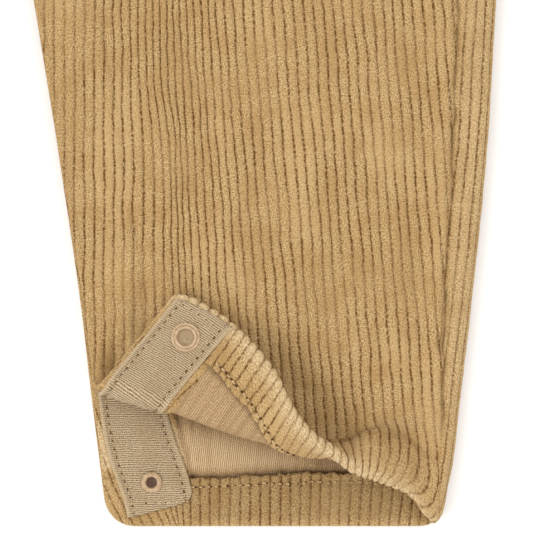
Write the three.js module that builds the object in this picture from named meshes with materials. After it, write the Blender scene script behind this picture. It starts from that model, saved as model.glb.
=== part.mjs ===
// Toddler overalls in wide-wale corduroy, laid flat on the back with the front up.
// Each leg opens along its inseam with snaps on tapes. The lowest snap of the wearer's
// left leg is undone, and that corner of the front hem is folded up over the leg.
// Millimetres. X runs towards the wearer's left, Y from the hems to the straps, Z up.
// The origin is under the middle of the laid garment.
import * as THREE from "three";

// Corduroy: the ground cloth, and the round wales of pile that stand on it.
const CLOTH = 1.8;
const WALE_PITCH = 3.3;
const WALE_RISE = 0.6;
const WALE_LEAN = 0.04;
const LEAN_TOP = 180;
const SEAM_GAP = 0.3;

// Hems: the depth turned up inside, and what it adds to the cloth.
const HEM_DEPTH = 16;
const HEM_EXTRA = 0.8;

// Heights of the front's wrong side: over the leg, where the snaps hold the front down
// to the back, and at the closed hem, where the cloth is double.
const FRONT_REST = 8;
const PLACKET_REST = 6.9;
const PLACKET_HEM = 8.6;
const PLACKET_WIDTH = 28;
const PLACKET_EASE = 34;
const HEM_EASE = 26;
const FOLD_RADIUS = (FRONT_REST + CLOTH) / 2;

// Snap tapes, measured from the inseam edges.
const TAPE = 0.8;
const TAPE_WIDTH = 21;
const TAPE_MARGIN = 2.5;
const TAPE_END = 1.8;
const CROTCH_END = 268;

// Snaps: a ring on the front tape that closes over a stud on the back tape.
const SNAP_HEIGHTS = [12, 82, 152, 222];
const SOCKET = { outer: 5, hole: 2.7, height: 1.1 };
const STUD = { outer: 4.4, knob: 2.1, base: 0.9, height: 1.9, dimple: 1.1 };

// Outline of a leg from the middle of the garment: inseam edge, side, and side seam.
const LEG = [
  { y: 0, inseam: 47, side: 159.6, seam: 154.0 },
  { y: 42, inseam: 41.7, side: 164.3, seam: 158.3 },
  { y: 76, inseam: 37.7, side: 168.3, seam: 158.9 },
  { y: 126, inseam: 30.3, side: 173.3, seam: 161.8 },
  { y: 176, inseam: 22.7, side: 176.4, seam: 163.5 },
  { y: 240, inseam: 11.5, side: 182, seam: 169 },
  { y: 288, inseam: 0.15, side: 184, seam: 171 },
  { y: 330, inseam: 0.15, side: 182.5, seam: 169.5 },
  { y: 440, inseam: 0.15, side: 168, seam: 155 },
];
const WAIST = 440;
const CORNER = 8;
const FRONT_INSET = 1.8;

// Outlines of the two bibs above the waist seam, half widths.
const BIB_FRONT = [
  { y: WAIST + SEAM_GAP, half: 155 },
  { y: 452, half: 143 },
  { y: 478, half: 117 },
  { y: 508, half: 97 },
  { y: 545, half: 84 },
  { y: 585, half: 78 },
];
const BIB_BACK = [
  { y: WAIST + SEAM_GAP, half: 168 },
  { y: 455, half: 152 },
  { y: 485, half: 122 },
  { y: 520, half: 98 },
  { y: 560, half: 83 },
  { y: 600, half: 76 },
];

// Straps run from the back bib over the shoulder fold and down onto the front bib.
const STRAP = { middle: 54, width: 31, cloth: 2.4, top: 675, end: 560, tip: 9 };
const STRAP_FRONT = FRONT_REST + CLOTH + WALE_RISE + SEAM_GAP;
const BUTTON = { radius: 10.5, height: 3.2, rim: 1.4, dish: 0.9, y: 574 };

// The folded corner, by place along the hem: where the fold starts, how far its line
// turns from the hem's, how far the cloth turns over, its radius, and how much of the
// cloth's length is not taken up in small creases.
const CORNER_FOLD = [
  { u: 43, start: 49.5, turn: 15.5, angle: 178, radius: 2.7, take: 0.91 },
  { u: 67, start: 42.5, turn: 15.5, angle: 178, radius: 2.7, take: 0.91 },
  { u: 86, start: 37.5, turn: 17, angle: 166, radius: 4.3, take: 0.82 },
  { u: 104, start: 35, turn: 13, angle: 150, radius: 6.5, take: 0.74 },
  { u: 124, start: 30, turn: 9, angle: 143, radius: 7, take: 0.8 },
  { u: 144, start: 19, turn: 6, angle: 116, radius: 6, take: 0.95 },
  { u: 158, start: 12, turn: 0, angle: 30, radius: 6, take: 1 },
];
const ROLL_STEPS = 6;
const FOLD_SHARE = 0.8;

const corduroy = new THREE.MeshStandardMaterial({ color: 0xbe9a66, roughness: 0.95, metalness: 0 });
const twillTape = new THREE.MeshStandardMaterial({ color: 0xb4997b, roughness: 0.9, metalness: 0 });
const snapPlastic = new THREE.MeshStandardMaterial({ color: 0xc3a584, roughness: 0.45, metalness: 0 });

// A smooth curve through the rows of a table, read at one place.
function read(table, place, column, at) {
  const last = table.length - 1;
  let i = 0;
  while (i < last - 1 && at > table[i + 1][place]) i++;
  const rate = (j) => (table[j + 1][column] - table[j][column]) / (table[j + 1][place] - table[j][place]);
  const slope = (j) => {
    const before = rate(Math.max(j - 1, 0));
    const after = rate(Math.min(j, last - 1));
    return before * after > 0 ? (before + after) / 2 : 0;
  };
  const [a, b] = [table[i], table[i + 1]];
  const width = b[place] - a[place];
  const t = THREE.MathUtils.clamp((at - a[place]) / width, 0, 1);
  const startWeight = (1 + 2 * t) * (1 - t) ** 2;
  const startSlope = t * (1 - t) ** 2 * width;
  const endSlope = t * t * (t - 1) * width;
  return (
    startWeight * a[column] + (1 - startWeight) * b[column] + startSlope * slope(i) + endSlope * slope(i + 1)
  );
}

const smooth = (x) => THREE.MathUtils.smoothstep(x, 0, 1);
const leg = (column, y) => read(LEG, "y", column, y);
const fold = (column, u) => read(CORNER_FOLD, "u", column, u);

// Edges of the leg panels at height y.
const frontInner = (y) => leg("inseam", y) + FRONT_INSET * (1 - smooth((y - 60) / 120));
const frontOuter = (y) => leg("seam", y) - SEAM_GAP;
const cornerCut = (y) => (y < CORNER ? CORNER - Math.sqrt(CORNER ** 2 - (CORNER - y) ** 2) : 0);

// The wales' own coordinate across the cloth: whole numbers lie in the grooves.
const waleShift = (v) => WALE_LEAN * Math.min(v, LEAN_TOP);
const waleAt = (u, v) => (u + waleShift(v)) / WALE_PITCH;
const waleRise = (q) => WALE_RISE * (1 - Math.abs(2 * (q - Math.floor(q)) - 1));

// What the turned-up hem adds inside, at height v of the flat cloth.
const hemExtra = (v) => HEM_EXTRA * (1 - smooth((v - HEM_DEPTH) / 0.4));

// The height of the laid front's wrong side.
function frontHeight(u, v) {
  const besideSnaps = 1 - smooth((u - leg("inseam", v) - PLACKET_WIDTH) / PLACKET_EASE);
  const belowCrotch = 1 - smooth((v - CROTCH_END) / HEM_EASE);
  const atHem = 1 - smooth((v - HEM_DEPTH - 2) / HEM_EASE);
  const held = THREE.MathUtils.lerp(PLACKET_REST, PLACKET_HEM, atHem);
  return THREE.MathUtils.lerp(FRONT_REST, held, besideSnaps * belowCrotch);
}

// A point of the closed, flat front: u across, v up, w out of the plain inside.
const flatPoint = (u, v, w) => new THREE.Vector3(u, v, frontHeight(u, v) + w);

// A point of the front whose hem corner is folded up.
function foldedPoint(u, v, w) {
  const start = fold("start", u);
  if (v >= start) return flatPoint(u, v, w);
  const turn = THREE.MathUtils.degToRad(fold("turn", u));
  const angle = THREE.MathUtils.degToRad(fold("angle", u));
  const radius = fold("radius", u);
  const past = (start - v) * fold("take", u);
  const centre = CLOTH / 2 + radius;
  const roll = Math.min((past * Math.cos(turn)) / radius, angle);
  const rest = Math.max(past * Math.cos(turn) - angle * radius, 0);
  const out = (centre - w) * Math.sin(roll) + rest * Math.cos(angle);
  const up = centre - (centre - w) * Math.cos(roll) + rest * Math.sin(angle);
  const along = past * Math.sin(turn);
  return new THREE.Vector3(
    u + Math.cos(turn) * along - Math.sin(turn) * out,
    start - Math.sin(turn) * along - Math.cos(turn) * out,
    frontHeight(u, start) + up,
  );
}

// Where a column of the cloth, u as a function of v, meets a row, v as a function of u.
function crossing(column, row) {
  let u = column(row(100));
  for (let i = 0; i < 8; i++) u = column(row(u));
  return { u, v: row(u) };
}

// A strip of triangles between two lists of points, matched by a measure of each point.
function zip(a, b, measure, faces) {
  let i = 0;
  let j = 0;
  while (i < a.length - 1 || j < b.length - 1) {
    const takeA = j === b.length - 1 || (i < a.length - 1 && measure(a, i + 1) <= measure(b, j + 1));
    if (takeA) {
      faces.push([a[i].id, a[i + 1].id, b[j].id]);
      i++;
    } else {
      faces.push([a[i].id, b[j + 1].id, b[j].id]);
      j++;
    }
  }
}

// A wall of cloth from rows of { outer, inner } points. Each point has its place, at,
// and a number, across, that grows along its row.
function clothWall(name, rows, material) {
  const positions = [];
  const numbered = (points) =>
    points.map((point) => ({ ...point, id: positions.push([point.at.x, point.at.y, point.at.z]) - 1 }));
  const grid = rows.map((row) => ({ outer: numbered(row.outer), inner: numbered(row.inner) }));
  const outerFaces = [];
  const innerFaces = [];
  const byAcross = (points, i) => points[i].across;
  const byCount = (points, i) => i / (points.length - 1);
  for (let r = 0; r < grid.length - 1; r++) {
    const [low, high] = [grid[r], grid[r + 1]];
    zip(low.outer, high.outer, byAcross, outerFaces);
    zip(low.inner, high.inner, byCount, innerFaces);
    const leftEdge = [low.inner[0], low.outer[0]];
    const leftNext = [high.inner[0], high.outer[0]];
    zip(leftEdge, leftNext, byCount, outerFaces);
    zip([low.inner.at(-1), low.outer.at(-1)], [high.inner.at(-1), high.outer.at(-1)], byCount, innerFaces);
  }
  zip(grid[0].inner, grid[0].outer, byAcross, outerFaces);
  zip(grid.at(-1).inner, grid.at(-1).outer, byAcross, innerFaces);
  const faces = [...outerFaces, ...innerFaces.map(([a, b, c]) => [a, c, b])];
  return closedMesh(name, positions, faces, material);
}

// A mesh whose faces point out, whichever way round the faces were given.
function closedMesh(name, positions, faces, material) {
  const corner = (i) => new THREE.Vector3(...positions[i]);
  let volume = 0;
  for (const [a, b, c] of faces) volume += corner(a).dot(corner(b).cross(corner(c)));
  const turned = volume < 0 ? faces.map(([a, b, c]) => [a, c, b]) : faces;
  const geometry = new THREE.BufferGeometry();
  geometry.setAttribute("position", new THREE.Float32BufferAttribute(positions.flat(), 3));
  geometry.setIndex(turned.flat());
  geometry.computeVertexNormals();
  const mesh = new THREE.Mesh(geometry, material);
  mesh.name = name;
  return mesh;
}

// The points of one row of a wall with wales: both edges, each groove and each crest.
function waleRow(surface, row, left, right, base) {
  const first = crossing(left, row);
  const last = crossing(right, row);
  const low = waleAt(first.u, first.v);
  const high = waleAt(last.u, last.v);
  const places = [{ ...first, q: low }];
  for (let half = Math.ceil(low * 2 + 0.4); half <= Math.floor(high * 2 - 0.4); half++) {
    const column = (v) => (half * WALE_PITCH) / 2 - waleShift(v);
    places.push({ ...crossing(column, row), q: half / 2 });
  }
  places.push({ ...last, q: high });
  return places.map(({ u, v, q }) => ({ at: surface(u, v, base + waleRise(q)), across: q }));
}

// The points of one row of a plain inside, at set distances from the left edge.
function plainRow(surface, row, left, right, insets, depth) {
  const first = crossing(left, row);
  const last = crossing(right, row);
  const span = last.u - first.u;
  const kept = insets.filter((inset) => inset < span - 8);
  const columns = insets.map((inset, i) => (i < kept.length ? inset : span - 4 + (4 * i) / insets.length));
  const places = columns.map((inset) => crossing((v) => left(v) + inset, row));
  return [...places, last].map(({ u, v }) => ({ at: surface(u, v, depth(v)), across: waleAt(u, v) }));
}

const level = (v) => () => v;

// Rows of the folded front: from the hem, round the fold, and on up the leg.
function foldedRows() {
  const rollEnd = (u) => {
    const turn = Math.cos(THREE.MathUtils.degToRad(fold("turn", u)));
    const arc = THREE.MathUtils.degToRad(fold("angle", u)) * fold("radius", u);
    return Math.min(arc / (turn * fold("take", u)), FOLD_SHARE * fold("start", u));
  };
  const rolled = (share) => (u) => fold("start", u) - share * rollEnd(u);
  const hemEdge = (u) => Math.min(HEM_DEPTH, rolled(1)(u) * 0.5);
  const aboveHem = (u) => Math.min(HEM_DEPTH + 0.4, rolled(1)(u) * 0.6);
  const rows = [level(0), hemEdge, aboveHem];
  for (let step = ROLL_STEPS; step >= 0; step--) rows.push(rolled(step / ROLL_STEPS));
  const above = 60;
  rows.push((u) => THREE.MathUtils.lerp(fold("start", u), above, 0.4));
  return rows;
}

const LEG_ROWS = [60, 110, 176, 240, CROTCH_END, 288, 330, 385, WAIST];
const INSETS = [0, 2.5, 13, 23.5, 34, 48, 70, 100];

// One front leg panel; the wearer's right one is closed and is turned over by its sign.
function frontLeg(name, side, folded) {
  const surface = folded ? foldedPoint : flatPoint;
  const rows = folded ? foldedRows() : [0, HEM_DEPTH, HEM_DEPTH + 0.4, 30].map(level);
  rows.push(...LEG_ROWS.map(level));
  const placed = (u, v, w) => surface(u, v, w).multiply(new THREE.Vector3(side, 1, 1));
  const walls = rows.map((row) => ({
    outer: waleRow(placed, row, frontInner, frontOuter, CLOTH),
    inner: plainRow(placed, row, frontInner, frontOuter, INSETS, (v) => -hemExtra(v)),
  }));
  return clothWall(name, walls, corduroy);
}

// One back leg panel. It lies plain on the surface, turns up round the side, and ends at
// the side seam on the front.
function backLeg(name, side) {
  const heights = [0, 0.8, 2.4, 5, CORNER, HEM_DEPTH, HEM_DEPTH + 0.4, 30, ...LEG_ROWS];
  const turnLength = Math.PI * FOLD_RADIUS;
  const wales = Math.floor((turnLength * 2) / WALE_PITCH);
  const rows = heights.map((y) => {
    const inseam = leg("inseam", y) + cornerCut(y);
    const centre = leg("side", y) - FOLD_RADIUS;
    const seam = leg("seam", y);
    const onTurn = (length, radius) => {
      const angle = Math.min(length / FOLD_RADIUS, Math.PI) - Math.PI / 2;
      const beyond = Math.max(length - turnLength, 0);
      return new THREE.Vector3(
        side * (centre + radius * Math.cos(angle) - beyond),
        y,
        FOLD_RADIUS + radius * Math.sin(angle),
      );
    };
    const onFlat = (share, z) => new THREE.Vector3(side * THREE.MathUtils.lerp(inseam, centre, share), y, z);
    const flatLength = centre - inseam;
    const end = turnLength + centre - seam;
    const outer = [0, 0.5].map((share) => ({
      at: onFlat(share, 0),
      across: (share - 1) * flatLength,
    }));
    const steps = wales + Math.floor((2 * (centre - seam)) / WALE_PITCH + 0.6);
    for (let half = 0; half < steps; half++) {
      const length = (half * WALE_PITCH) / 2;
      if (length > end - 0.6) break;
      const rise = half > 3 && half % 2 === 1 ? WALE_RISE : 0;
      outer.push({ at: onTurn(length, FOLD_RADIUS + rise), across: length });
    }
    outer.push({ at: onTurn(end, FOLD_RADIUS), across: end });
    const thickness = CLOTH + hemExtra(y);
    const inner = [0, 0.13, 0.3, 0.6].map((share) => ({
      at: onFlat(share, thickness),
      across: (share - 1) * flatLength,
    }));
    for (const share of [0, 0.25, 0.5, 0.75, 1]) {
      inner.push({ at: onTurn(share * turnLength, FOLD_RADIUS - thickness), across: share * turnLength });
    }
    inner.push({ at: onTurn(end + 0.01, FOLD_RADIUS - thickness), across: end + 0.01 });
    return { outer, inner };
  });
  return clothWall(name, rows, corduroy);
}

// The front bib, with wales, and the back bib, plain because it lies on the surface.
function frontBib() {
  const surface = (u, v, w) => new THREE.Vector3(u, v, FRONT_REST + w);
  const half = (v) => read(BIB_FRONT, "y", "half", v);
  const heights = [BIB_FRONT[0].y, 446, 458, 478, 508, 545, BIB_FRONT.at(-1).y];
  const insets = [0, 20, 40, 60, 80];
  const rows = heights.map((y) => ({
    outer: waleRow(surface, level(y), (v) => -half(v), half, CLOTH),
    inner: plainRow(surface, level(y), (v) => -half(v), half, insets, () => 0),
  }));
  return clothWall("bib_front", rows, corduroy);
}

function backBib() {
  const half = (v) => read(BIB_BACK, "y", "half", v);
  const heights = [BIB_BACK[0].y, 447, 455, 468, 485, 502, 520, 540, 560, 580, BIB_BACK.at(-1).y];
  const shares = [-1, -0.5, 0, 0.5, 1];
  const across = (y, z) =>
    shares.map((share) => ({ at: new THREE.Vector3(share * half(y), y, z), across: share }));
  const rows = heights.map((y) => ({ outer: across(y, 0), inner: across(y, CLOTH) }));
  return clothWall("bib_back", rows, corduroy);
}

// A strap: flat on the surface behind, round the shoulder fold, and down onto the bib.
function strap(name, side) {
  const outerRadius = (STRAP_FRONT + STRAP.cloth) / 2;
  const centre = STRAP.top - outerRadius;
  const start = BIB_BACK.at(-1).y + SEAM_GAP;
  const half = STRAP.width / 2;
  const turned = (angle, radius) => ({
    y: centre + radius * Math.cos(angle),
    z: outerRadius + radius * Math.sin(angle),
  });
  const stations = [{ y: start, turn: null, front: false, half }];
  for (let step = 0; step <= 8; step++) {
    stations.push({ turn: (step / 8 - 0.5) * Math.PI, front: step > 2, half });
  }
  stations.push({ y: STRAP.end + STRAP.tip, turn: null, front: true, half });
  stations.push({ y: STRAP.end + 2, turn: null, front: true, half: half - 3 });
  stations.push({ y: STRAP.end, turn: null, front: true, half: half - 7 });
  const wales = Math.floor(STRAP.width / WALE_PITCH);
  const rows = stations.map((station) => {
    const place = (share, out) => {
      const x = side * (STRAP.middle + share * station.half);
      if (station.turn !== null) {
        const { y, z } = turned(station.turn, outerRadius - (STRAP.cloth - out));
        return new THREE.Vector3(x, y, z);
      }
      const z = station.front ? STRAP_FRONT + out : STRAP.cloth - out;
      return new THREE.Vector3(x, station.y, z);
    };
    const outer = [];
    for (let i = 0; i <= 2 * wales; i++) {
      const share = i / wales - 1;
      const rise = station.front && i % 2 === 1 ? WALE_RISE : 0;
      outer.push({ at: place(share, STRAP.cloth + rise), across: share });
    }
    const inner = [-1, 0, 1].map((share) => ({ at: place(share, 0), across: share }));
    return { outer, inner };
  });
  return clothWall(name, rows, corduroy);
}

// A snap tape: on the wrong side of a front or back panel, along its inseam edge.
function frontTape(name, side, folded) {
  const surface = folded ? foldedPoint : flatPoint;
  const rows = folded ? foldedRows() : [0, HEM_DEPTH, HEM_DEPTH + 0.4, 30].map(level);
  rows[0] = level(TAPE_END);
  rows.push(...[60, 110, 176, 240, CROTCH_END].map(level));
  const insets = [0, TAPE_WIDTH / 2, TAPE_WIDTH].map((inset) => inset + TAPE_MARGIN);
  const across = (row, out) =>
    insets.map((inset) => {
      const { u, v } = crossing((y) => frontInner(y) + inset, row);
      const at = surface(u, v, -hemExtra(v) - SEAM_GAP - out).multiply(new THREE.Vector3(side, 1, 1));
      return { at, across: inset };
    });
  const walls = rows.map((row) => ({ outer: across(row, 0), inner: across(row, TAPE) }));
  return clothWall(name, walls, twillTape);
}

function backTape(name, side) {
  const heights = [TAPE_END, HEM_DEPTH, HEM_DEPTH + 0.4, 60, 110, 176, 240, CROTCH_END];
  const insets = [0, TAPE_WIDTH / 2, TAPE_WIDTH].map((inset) => inset + TAPE_MARGIN);
  const across = (y, out) =>
    insets.map((inset) => ({
      at: new THREE.Vector3(side * (leg("inseam", y) + inset), y, CLOTH + hemExtra(y) + SEAM_GAP + out),
      across: inset,
    }));
  const rows = heights.map((y) => ({ outer: across(y, TAPE), inner: across(y, 0) }));
  return clothWall(name, rows, twillTape);
}

// A turned piece: its profile of [radius, height] pairs closes on itself or on the axis.
function turned(name, profile, sides, material) {
  const geometry = new THREE.LatheGeometry(
    profile.map(([radius, height]) => new THREE.Vector2(radius, height)),
    sides,
  );
  geometry.rotateX(Math.PI / 2);
  const mesh = new THREE.Mesh(geometry, material);
  mesh.name = name;
  return mesh;
}

// A snap's stud stands on the back tape.
function stud(name, side, y) {
  const profile = [
    [0, 0],
    [STUD.outer, 0],
    [STUD.outer, STUD.base],
    [STUD.knob, STUD.base],
    [STUD.knob, STUD.height],
    [STUD.dimple, STUD.height],
    [0, STUD.height - 0.6],
  ];
  const mesh = turned(name, profile, 10, snapPlastic);
  const inset = TAPE_MARGIN + TAPE_WIDTH / 2;
  const z = CLOTH + hemExtra(y) + 2 * SEAM_GAP + TAPE;
  mesh.position.set(side * (leg("inseam", y) + inset), y, z);
  return mesh;
}

// A snap's socket ring is on the front tape, and turns with the cloth that carries it.
function socket(name, side, y, surface) {
  const { outer, hole, height } = SOCKET;
  const profile = [
    [hole, 0],
    [outer, 0],
    [outer, height * 0.7],
    [outer - 0.5, height],
    [hole, height],
    [hole, 0],
  ];
  const mesh = turned(name, profile, 12, snapPlastic);
  const u = leg("inseam", y) + TAPE_MARGIN + TAPE_WIDTH / 2;
  const depth = -hemExtra(y) - 2 * SEAM_GAP - TAPE;
  const flip = new THREE.Vector3(side, 1, 1);
  const place = surface(u, y, depth).multiply(flip);
  const across = surface(u + 1, y, depth).multiply(flip).sub(place).normalize();
  const out = surface(u, y, depth - 1).multiply(flip).sub(place).normalize();
  const upward = new THREE.Vector3().crossVectors(out, across).normalize();
  const turn = new THREE.Matrix4().makeBasis(new THREE.Vector3().crossVectors(upward, out), upward, out);
  mesh.quaternion.setFromRotationMatrix(turn);
  mesh.position.copy(place);
  return mesh;
}

// A strap button: a dished disc with a rim, sewn on at the strap's end.
function button(name, side) {
  const { radius, height, rim, dish, y } = BUTTON;
  const profile = [
    [0, 0],
    [radius - 1.5, 0],
    [radius, 1],
    [radius, height - 0.5],
    [radius - 0.5, height],
    [radius - rim, height],
    [radius - rim - 1, height - dish],
    [0, height - dish],
  ];
  const mesh = turned(name, profile, 20, snapPlastic);
  mesh.position.set(side * STRAP.middle, y, STRAP_FRONT + STRAP.cloth + WALE_RISE + SEAM_GAP);
  return mesh;
}

const garment = new THREE.Group();
garment.position.set(0, -(STRAP.top + WALE_RISE) / 2, 0);
for (const [label, side, folded] of [["left", 1, true], ["right", -1, false]]) {
  garment.add(
    frontLeg(`front_${label}`, side, folded),
    backLeg(`back_${label}`, side),
    strap(`strap_${label}`, side),
    button(`button_${label}`, side),
    frontTape(`tape_front_${label}`, side, folded),
    backTape(`tape_back_${label}`, side),
  );
  SNAP_HEIGHTS.forEach((y, i) => {
    garment.add(stud(`stud_${label}_${i + 1}`, side, y));
    garment.add(socket(`socket_${label}_${i + 1}`, side, y, folded ? foldedPoint : flatPoint));
  });
}
garment.add(frontBib(), backBib());

export default garment;
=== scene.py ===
import math
import bmesh
import bpy
import numpy as np
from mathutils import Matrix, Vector


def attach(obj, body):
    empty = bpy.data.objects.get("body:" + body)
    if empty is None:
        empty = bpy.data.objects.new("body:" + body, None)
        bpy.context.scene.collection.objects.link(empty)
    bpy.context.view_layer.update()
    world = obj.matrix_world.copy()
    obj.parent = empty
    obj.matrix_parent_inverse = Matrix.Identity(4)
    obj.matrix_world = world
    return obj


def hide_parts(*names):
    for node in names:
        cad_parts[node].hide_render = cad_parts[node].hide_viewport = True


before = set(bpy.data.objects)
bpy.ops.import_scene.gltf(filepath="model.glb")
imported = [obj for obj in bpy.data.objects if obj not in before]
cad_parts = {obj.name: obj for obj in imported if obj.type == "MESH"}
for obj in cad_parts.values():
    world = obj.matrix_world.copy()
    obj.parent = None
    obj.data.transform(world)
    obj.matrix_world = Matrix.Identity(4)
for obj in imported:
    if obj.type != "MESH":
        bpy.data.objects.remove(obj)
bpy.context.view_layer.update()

# The wearer's left front leg: a panel of tan corduroy, cut with its wales up the leg and
# laid with its outside up. Its hem is turned up inside, and the inseam corner of the hem
# is folded up over the leg. Sizes are in millimetres from the hem and the crotch line.
MM = 0.001
CLOTH = 1.8
WALE_PITCH = 3.3
WALE_RISE = 0.75
WALE_STEPS = (0.0, 0.09, 0.26, 0.5, 0.74, 0.91)
HEM_DEPTH = 16.0
HEM_TURN = 2.2
HEM_SQUASH = 0.6
FRONT_REST = 8.0
PLACKET_REST = 6.9
PLACKET_HEM = 8.6
CROTCH_END = 268.0
WAIST = 440.0
LENGTH = 675.6
PLACKET_LINE = 21.4


def table(columns, *rows):
    return [dict(zip(columns.split(), row)) for row in rows]


LEG = table(
    "y inseam side seam",
    (0, 47, 159.6, 156.3),
    (42, 41.7, 164.3, 158.3),
    (76, 37.7, 168.3, 158.9),
    (126, 30.3, 173.3, 161.8),
    (176, 22.7, 176.4, 163.5),
    (240, 11.5, 182, 169),
    (288, 0.15, 184, 171),
    (330, 0.15, 182.5, 169.5),
    (440, 0.15, 168, 155),
)
# The folded corner by place along the hem: where the fold starts, the turn of its line,
# the angle and radius that the cloth turns through, the slack that creases take up above
# the hem's stitching, and how far the hem bulges upward.
CORNER_FOLD = table(
    "u start turn angle radius slack lift",
    (43, 52.0, 16.0, 184, 4.2, 2.4, 0),
    (67, 43.2, 16.0, 180, 3.2, 0.9, 0),
    (86, 37.5, 17, 166, 4.3, 1.7, 0),
    (104, 34.5, 14, 142, 6.2, 8.2, 0.4),
    (116, 32.5, 12, 110, 6.4, 11.2, 1.2),
    (125, 32.5, 9, 70, 6.2, 12.4, 2.6),
    (134, 36, 5, 30, 6, 15.0, 4.0),
    (143, 41, 2, 6, 7, 13.4, 4.6),
    (148, 40, 1, 1, 8, 10.4, 4.0),
    (151.5, 38, 0, 0, 8, 5.6, 2.8),
    (154.5, 36, 0, 0, 8, 2.6, 1.6),
    (158, 34, 0, 0, 8, 2.0, 0.8),
)
# Soft troughs and ridges of the laid cloth: place across and up, half length and half
# width, turn from the leg's length in degrees, and depth, which is negative for a ridge.
CREASES = (
    *((152.5, 100, 44, 5.0, 2, 1.5), (152, 56, 20, 4.6, -2, 1.5)),
    *((59, 78, 9, 2.6, 4, 1.1), (54, 84, 14, 2.2, -3, -0.5)),
    *((51, 58, 8, 3.0, 20, 0.9), (60, 139, 7, 2.4, -24, 0.8)),
    *((66, 133, 9, 2.6, -30, -0.7), (62, 119, 10, 2.6, 8, 0.9)),
    *((68, 112, 12, 3.0, -4, -0.6), (64, 99, 9, 2.4, 16, 0.7)),
    *((74, 160, 16, 5.0, -6, 0.8), (98, 150, 26, 6.0, 5, 0.6)),
    *((112, 96, 30, 7.0, 6, -0.6), (92, 84, 26, 6.0, -3, 0.6)),
    *((132, 120, 34, 6.0, 4, 0.7), (113, 48, 24, 6.0, -39, 1.9)),
    *((124, 50, 16, 9.0, -20, 1.0), (150, 130, 30, 5.0, 3, 1.2)),
    *((60, 215, 26, 7.0, 16, 1.2), (120, 235, 34, 8.0, -12, 1.1)),
    *((30, 292, 24, 6.0, 52, 1.6), (52, 312, 30, 7.0, 66, 1.2)),
    *((140, 300, 26, 7.0, -30, 1.1), (95, 350, 34, 9.0, 20, 1.0)),
    *((40, 395, 26, 7.0, -14, 0.9), (130, 400, 22, 8.0, 28, 0.9)),
)


def read(table, place, column, at):
    """A smooth curve through the rows of a table, read at many places."""
    x = np.array([row[place] for row in table], float)
    y = np.array([row[column] for row in table], float)
    rate = np.diff(y) / np.diff(x)
    before, after = np.append(rate[0], rate), np.append(rate, rate[-1])
    slope = np.where(before * after > 0, (before + after) / 2, 0)
    i = np.clip(np.searchsorted(x, at) - 1, 0, len(x) - 2)
    width = x[i + 1] - x[i]
    t = np.clip((at - x[i]) / width, 0, 1)
    start = (1 + 2 * t) * (1 - t) ** 2
    bend = t * (1 - t) ** 2 * width * slope[i] + t * t * (t - 1) * width * slope[i + 1]
    return start * y[i] + (1 - start) * y[i + 1] + bend


def ease(x):
    t = np.clip(x, 0, 1)
    return t * t * (3 - 2 * t)


def hump(x, width):
    """A smooth hump of height 1 round x = 0."""
    return np.exp(-((x / width) ** 2))


def mix(a, b, share):
    return a + (b - a) * share


def drift(x, y, seed):
    """Smooth noise from -1 to 1, about one hump to each unit of x and y."""
    i, j = np.floor(x).astype(np.int64), np.floor(y).astype(np.int64)

    def corner(a, b):
        n = (a * 374761393 + b * 668265263 + seed * 144269504) & 0x7FFFFFFF
        n = ((n ^ (n >> 13)) * 1274126177) & 0x7FFFFFFF
        return (n ^ (n >> 16)) / 0x3FFFFFFF - 1

    s, t = ease(x - i), ease(y - j)
    low = mix(corner(i, j), corner(i + 1, j), s)
    return mix(low, mix(corner(i, j + 1), corner(i + 1, j + 1), s), t)


def leg(column, y):
    return read(LEG, "y", column, y)


def round_corner(y, radius):
    """How far a rounded hem corner lies inside the panel's edge."""
    return radius - np.sqrt(np.maximum(radius**2 - np.maximum(radius - np.abs(y), 0) ** 2, 0))


def front_inner(y):
    return leg("inseam", y) + 0.7 + 1.5 * (1 - ease((y - 60) / 120)) + round_corner(y, 3.0)


def seam_line(y):
    """The side seam, drawn in unevenly by its stitching."""
    return leg("seam", y) + 0.65 * drift(y / 5.5, y * 0, 27) * ease((y - 22) / 14)


def front_outer(y):
    return seam_line(y) - 0.3


def crease_depth(x, y):
    """The depth of all the soft creases together."""
    total = np.zeros_like(x)
    for middle_x, middle_y, long, wide, degrees, depth in CREASES:
        turn = math.radians(degrees)
        dx, dy = x - middle_x, y - middle_y
        along = (dy * math.cos(turn) + dx * math.sin(turn)) / long
        across = dx * math.cos(turn) - dy * math.sin(turn)
        across = (across + 0.25 * wide * drift(dy / 9, across * 0, 5)) / wide
        total += depth * np.exp(-(along**2) * 1.2 - across**2)
    return total


def front_height(u, v):
    """The height of the laid front's wrong side."""
    inset = u - leg("inseam", v)
    beside_snaps = 1 - ease((inset - 28) / 34)
    below_crotch = 1 - ease((v - CROTCH_END) / 26)
    at_hem = 1 - ease((v - HEM_DEPTH - 2) / 26)
    height = mix(FRONT_REST, mix(PLACKET_REST, PLACKET_HEM, at_hem), beside_snaps * below_crotch)
    waves = 0.35 * drift(u / 21, v / 33, 1), 0.12 * drift(u / 7, v / 12, 2)
    height = height - crease_depth(u, v) + waves[0] + waves[1]
    placket_line = hump(inset - PLACKET_LINE - 0.2 * drift(v / 9, v * 0, 3), 0.9)
    height -= 0.55 * placket_line * below_crotch * ease((v - 50) / 30)
    seam = (front_outer(v) - u) / 1.9
    pucker = (0.7 + 0.5 * drift(v / 5.5, v * 0, 4)) * (0.3 + 0.7 * ease((v - 24) / 14))
    return height - pucker * np.exp(-(seam**2))


def flat_front(u, v, w):
    """A point of the closed front leg: u across, v up, w out of its wrong side."""
    return np.stack([u, v, front_height(u, v) + w], -1)


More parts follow.
